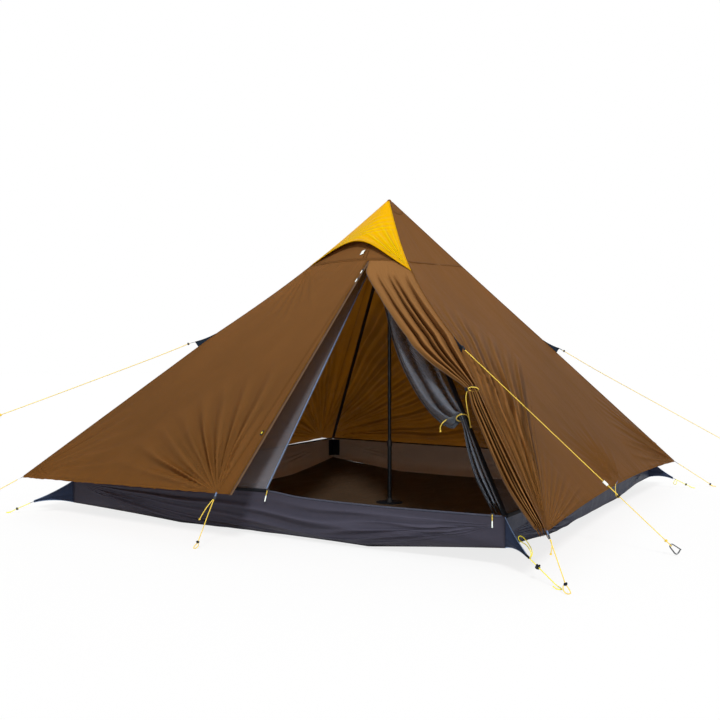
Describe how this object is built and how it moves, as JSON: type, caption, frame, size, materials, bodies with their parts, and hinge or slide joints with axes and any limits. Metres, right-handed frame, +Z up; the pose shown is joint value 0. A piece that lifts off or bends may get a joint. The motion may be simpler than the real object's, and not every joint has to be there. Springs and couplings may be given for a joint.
{
  "type": "pyramid tent",
  "caption": "Single-pole pyramid tent: a pegged fly with a tied-back zipped door and vent hood over a net inner tent with a tub floor.",
  "frame": {"origin": "on the ground under the pole, in the plane of the tub floor's underside", "axes": "+Z up, -Y out through the door, +X to the right of someone who faces the door"},
  "size_m": [3.5262, 3.4958, 1.7981],
  "materials": {
    "fly": "coated woven brown cloth, slightly glossy",
    "hood": "coated woven yellow cloth",
    "net": "fine grey insect net",
    "tub": "coated slate grey cloth",
    "webbing": "black reinforced cloth and webbing",
    "cord": "braided yellow cord",
    "buckle": "black moulded plastic",
    "slider": "black coated zip slider",
    "pull": "pale green-white moulded pull",
    "pole": "black anodised tube",
    "carabiner": "dark anodised bar"
  },
  "bodies": {
    "tent": {"fly_left_panel": "fly", "fly_back_panel": "fly", "fly_right_panel": "fly", "fly_front_left_panel": "fly", "fly_front_top_panel": "fly", "hood": "hood", "fly_door_gathered": "fly", "storm_flap": "fly", "apex_cap": "fly", "inner_left_mesh": "net", "inner_back_mesh": "net", "inner_right_mesh": "net", "inner_front_mesh": "net", "inner_door_gathered": "net", "tub_left_wall": "tub", "tub_back_wall": "tub", "tub_right_wall": "tub", "tub_front_wall": "tub", "tub_floor": "tub", "tub_wing_front_left": "tub", "tub_wing_front_right": "tub", "tub_wing_back_right": "tub", "tub_wing_back_left": "tub", "corner_pocket": "webbing", "ridge_fin_front_left": "webbing", "ridge_fin_front_right": "webbing", "ridge_fin_back_right": "webbing", "ridge_fin_back_left": "webbing", "line_lock_front_left": "buckle", "line_lock_front_right": "buckle", "line_lock_back_right": "buckle", "line_lock_door_foot": "buckle", "pole_foot": "buckle", "pole_bottom_tube": "pole", "pole_cup": "buckle", "carabiner_body": "carabiner", "guy_front_right": "cord", "guy_front_left": "cord", "guy_back_right": "cord", "peg_cord_front_left": "cord", "peg_cord_door_foot": "cord", "peg_cord_front_right": "cord", "peg_cord_back_right": "cord", "tub_cord_front_left": "cord", "tub_cord_front_right": "cord", "tub_cord_back_right": "cord"},
    "pole_upper": {"pole_lower_tube": "pole", "pole_middle_tube": "pole", "pole_top_tube": "pole"},
    "pole_lock": {"pole_lock_collar": "buckle"},
    "upper_slider": {"fly_upper_slider": "slider"},
    "upper_pull": {"fly_upper_pull": "pull"},
    "lower_slider": {"fly_lower_slider": "slider"},
    "lower_pull": {"fly_lower_pull": "pull"},
    "side_slider": {"inner_side_slider": "slider"},
    "side_toggle": {"inner_side_toggle": "pull"},
    "sill_slider": {"inner_sill_slider": "slider"},
    "sill_toggle": {"inner_sill_toggle": "pull"},
    "gate": {"carabiner_gate": "carabiner"},
    "runner": {"guy_runner": "pull"}
  },
  "joints": [
    {"name": "pole_telescope", "type": "slide", "parent": "tent", "child": "pole_upper", "axis": [0, 0, 1], "range_m": [-0.25, 0]},
    {"name": "pole_lock_turn", "type": "hinge", "parent": "tent", "child": "pole_lock", "pos_m": [0, 0, 0.35], "axis": [0, 0, 1], "range_deg": [0, 90]},
    {"name": "upper_zip", "type": "slide", "parent": "tent", "child": "upper_slider", "axis": [-0.0445, -0.6836, -0.7285], "range_m": [0, 0.025]},
    {"name": "upper_pull_swing", "type": "hinge", "parent": "upper_slider", "child": "upper_pull", "pos_m": [0.0787, -0.4416, 1.3289], "axis": [-1, 0, 0], "range_deg": [0, 150]},
    {"name": "lower_zip", "type": "slide", "parent": "tent", "child": "lower_slider", "axis": [-0.0445, -0.6836, -0.7285], "range_m": [0, 1.33]},
    {"name": "lower_pull_swing", "type": "hinge", "parent": "lower_slider", "child": "lower_pull", "pos_m": [0.0756, -0.4895, 1.2779], "axis": [-1, 0, 0], "range_deg": [0, 150]},
    {"name": "inner_side_zip", "type": "slide", "parent": "tent", "child": "side_slider", "axis": [0.0027, 0.6427, 0.7661], "range_m": [0, 1.3]},
    {"name": "side_toggle_swing", "type": "hinge", "parent": "side_slider", "child": "side_toggle", "pos_m": [-0.0001, -1.1749, 0.2244], "axis": [-1, 0, 0], "range_deg": [0, 120]},
    {"name": "inner_sill_zip", "type": "slide", "parent": "tent", "child": "sill_slider", "axis": [-0.9999, -0.0116, 0.0094], "range_m": [0, 1.07]},
    {"name": "sill_toggle_swing", "type": "hinge", "parent": "sill_slider", "child": "sill_toggle", "pos_m": [1.1121, -1.1644, 0.2141], "axis": [-1, 0, 0], "range_deg": [0, 120]},
    {"name": "gate_open", "type": "hinge", "parent": "tent", "child": "gate", "pos_m": [1.7122, -0.5507, 0.0297], "axis": [0.511, -0.8596, 0], "range_deg": [0, 15], "stiffness_Nm_per_rad": 0.02, "springref_deg": -11.46},
    {"name": "runner_slide", "type": "slide", "parent": "tent", "child": "runner", "axis": [0.6959, 0.1954, -0.691], "range_m": [-0.3, 0.25]}
  ]
}
